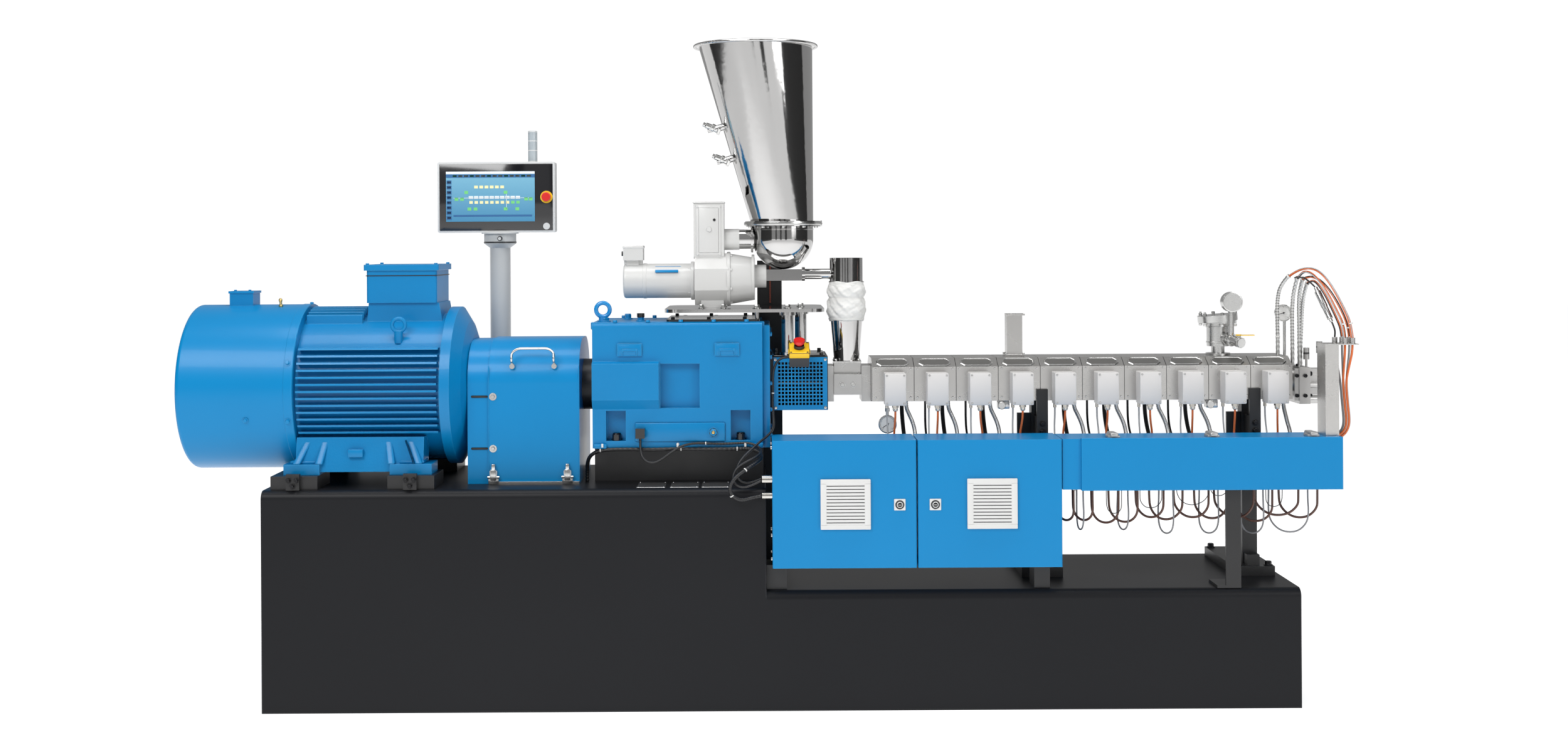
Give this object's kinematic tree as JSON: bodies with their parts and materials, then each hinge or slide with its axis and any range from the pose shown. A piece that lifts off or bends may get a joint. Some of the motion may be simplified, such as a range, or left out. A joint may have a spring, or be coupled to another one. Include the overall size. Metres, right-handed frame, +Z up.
{
  "type": "twin-screw plastic extruder",
  "caption": "Twin-screw extruder line on a stepped base: drive motor, coupling hood, gearbox, heated barrels, die head, screw feeder with hopper, cabinets and panel.",
  "frame": {"origin": "on the floor under the middle of the base's underside", "axes": "+X from the motor to the die, -Y to the operator's side, +Z up"},
  "size_m": [3.536, 0.638, 2.011],
  "materials": {
    "blue_paint": "semi-gloss process blue enamel",
    "anthracite_paint": "semi-gloss anthracite enamel",
    "black_steel": "satin black paint",
    "bright_steel": "bright plated steel",
    "fittings": "dark oiled steel and black plugs",
    "brushed_steel": "brushed stainless",
    "dark_steel": "nitrided steel",
    "polished_steel": "mirror-polished stainless",
    "light_grey_case": "light grey enamel",
    "grey_paint": "grey enamel",
    "panel_case": "white rim, black glass front",
    "signal_glass": "clear lens with metal caps",
    "yellow_paint": "yellow sleeve",
    "yellow_case": "yellow lid on black base",
    "red_button": "red",
    "white_cloth": "woven white cloth",
    "black_cable": "black sheath",
    "orange_cable": "orange silicone and grey sheath",
    "brown_cable": "brown and grey sheath",
    "steel_hose": "corrugated metal hose and black rubber hose"
  },
  "bodies": {
    "machine": {"barrel_covers": "brushed_steel", "barrel_leads": "orange_cable", "barrel_sections": "dark_steel", "barrel_supports": "black_steel", "base_frame": "anthracite_paint", "cabinet_supports": "black_steel", "cable_glands": "bright_steel", "cable_riser": "brushed_steel", "cloth_sleeve": "white_cloth", "control_column": "grey_paint", "coolant_hoses": "steel_hose", "coupling_guard": "blue_paint", "die_head": "brushed_steel", "estop_box": "yellow_case", "feed_barrel": "brushed_steel", "feed_funnel": "polished_steel", "feed_hopper": "polished_steel", "feed_tube": "polished_steel", "feeder_column": "black_steel", "feeder_gearbox": "light_grey_case", "feeder_motor": "light_grey_case", "feeder_platform": "polished_steel", "gearbox_cables": "black_cable", "gearbox_fittings": "fittings", "gearbox_housing": "blue_paint", "gearbox_pedestal": "black_steel", "guard_fittings": "bright_steel", "head_cables": "steel_hose", "hopper_bowl": "polished_steel", "junction_boxes": "light_grey_case", "lantern_guard": "blue_paint", "lantern_housing": "black_steel", "left_cabinet": "blue_paint", "motor_end_shield": "blue_paint", "motor_fan_cowl": "blue_paint", "motor_housing": "blue_paint", "motor_rails": "black_steel", "motor_terminal_box": "blue_paint", "right_cabinet": "blue_paint", "screw_shafts": "bright_steel", "shaft_coupling": "black_steel", "trough_clamps": "bright_steel", "trough_lid": "blue_paint", "trough_loops": "brown_cable", "vacuum_vent": "brushed_steel", "vent_stub": "brushed_steel", "wire_trough": "blue_paint"},
    "left_door": {"left_door": "blue_paint", "left_door_fittings": "light_grey_case"},
    "right_door": {"right_door": "blue_paint", "right_door_fittings": "light_grey_case"},
    "control_panel": {"control_panel": "panel_case", "signal_light": "signal_glass"},
    "vent_lever": {"vent_valve_lever": "yellow_paint"},
    "estop_button": {"estop_button": "red_button"}
  },
  "joints": [
    {"name": "left_door_hinge", "type": "hinge", "parent": "machine", "child": "left_door", "pos_m": [-0.025, -0.3285, 0.6165], "axis": [0, 0, -1], "range_deg": [0, 110]},
    {"name": "right_door_hinge", "type": "hinge", "parent": "machine", "child": "right_door", "pos_m": [0.831, -0.3285, 0.6165], "axis": [0, 0, 1], "range_deg": [0, 110]},
    {"name": "panel_swivel", "type": "hinge", "parent": "machine", "child": "control_panel", "pos_m": [-0.908, 0.23, 1.43], "axis": [0, 0, 1], "range_deg": [-60, 60]},
    {"name": "vent_lever_turn", "type": "hinge", "parent": "machine", "child": "vent_lever", "pos_m": [1.422, -0.084, 1.096], "axis": [0, 0, 1], "range_deg": [-90, 0]},
    {"name": "estop_press", "type": "slide", "parent": "machine", "child": "estop_button", "axis": [0, 0.4384, -0.8988], "range_m": [0, 0.005], "stiffness_N_per_m": 800, "springref_m": -0.002}
  ]
}
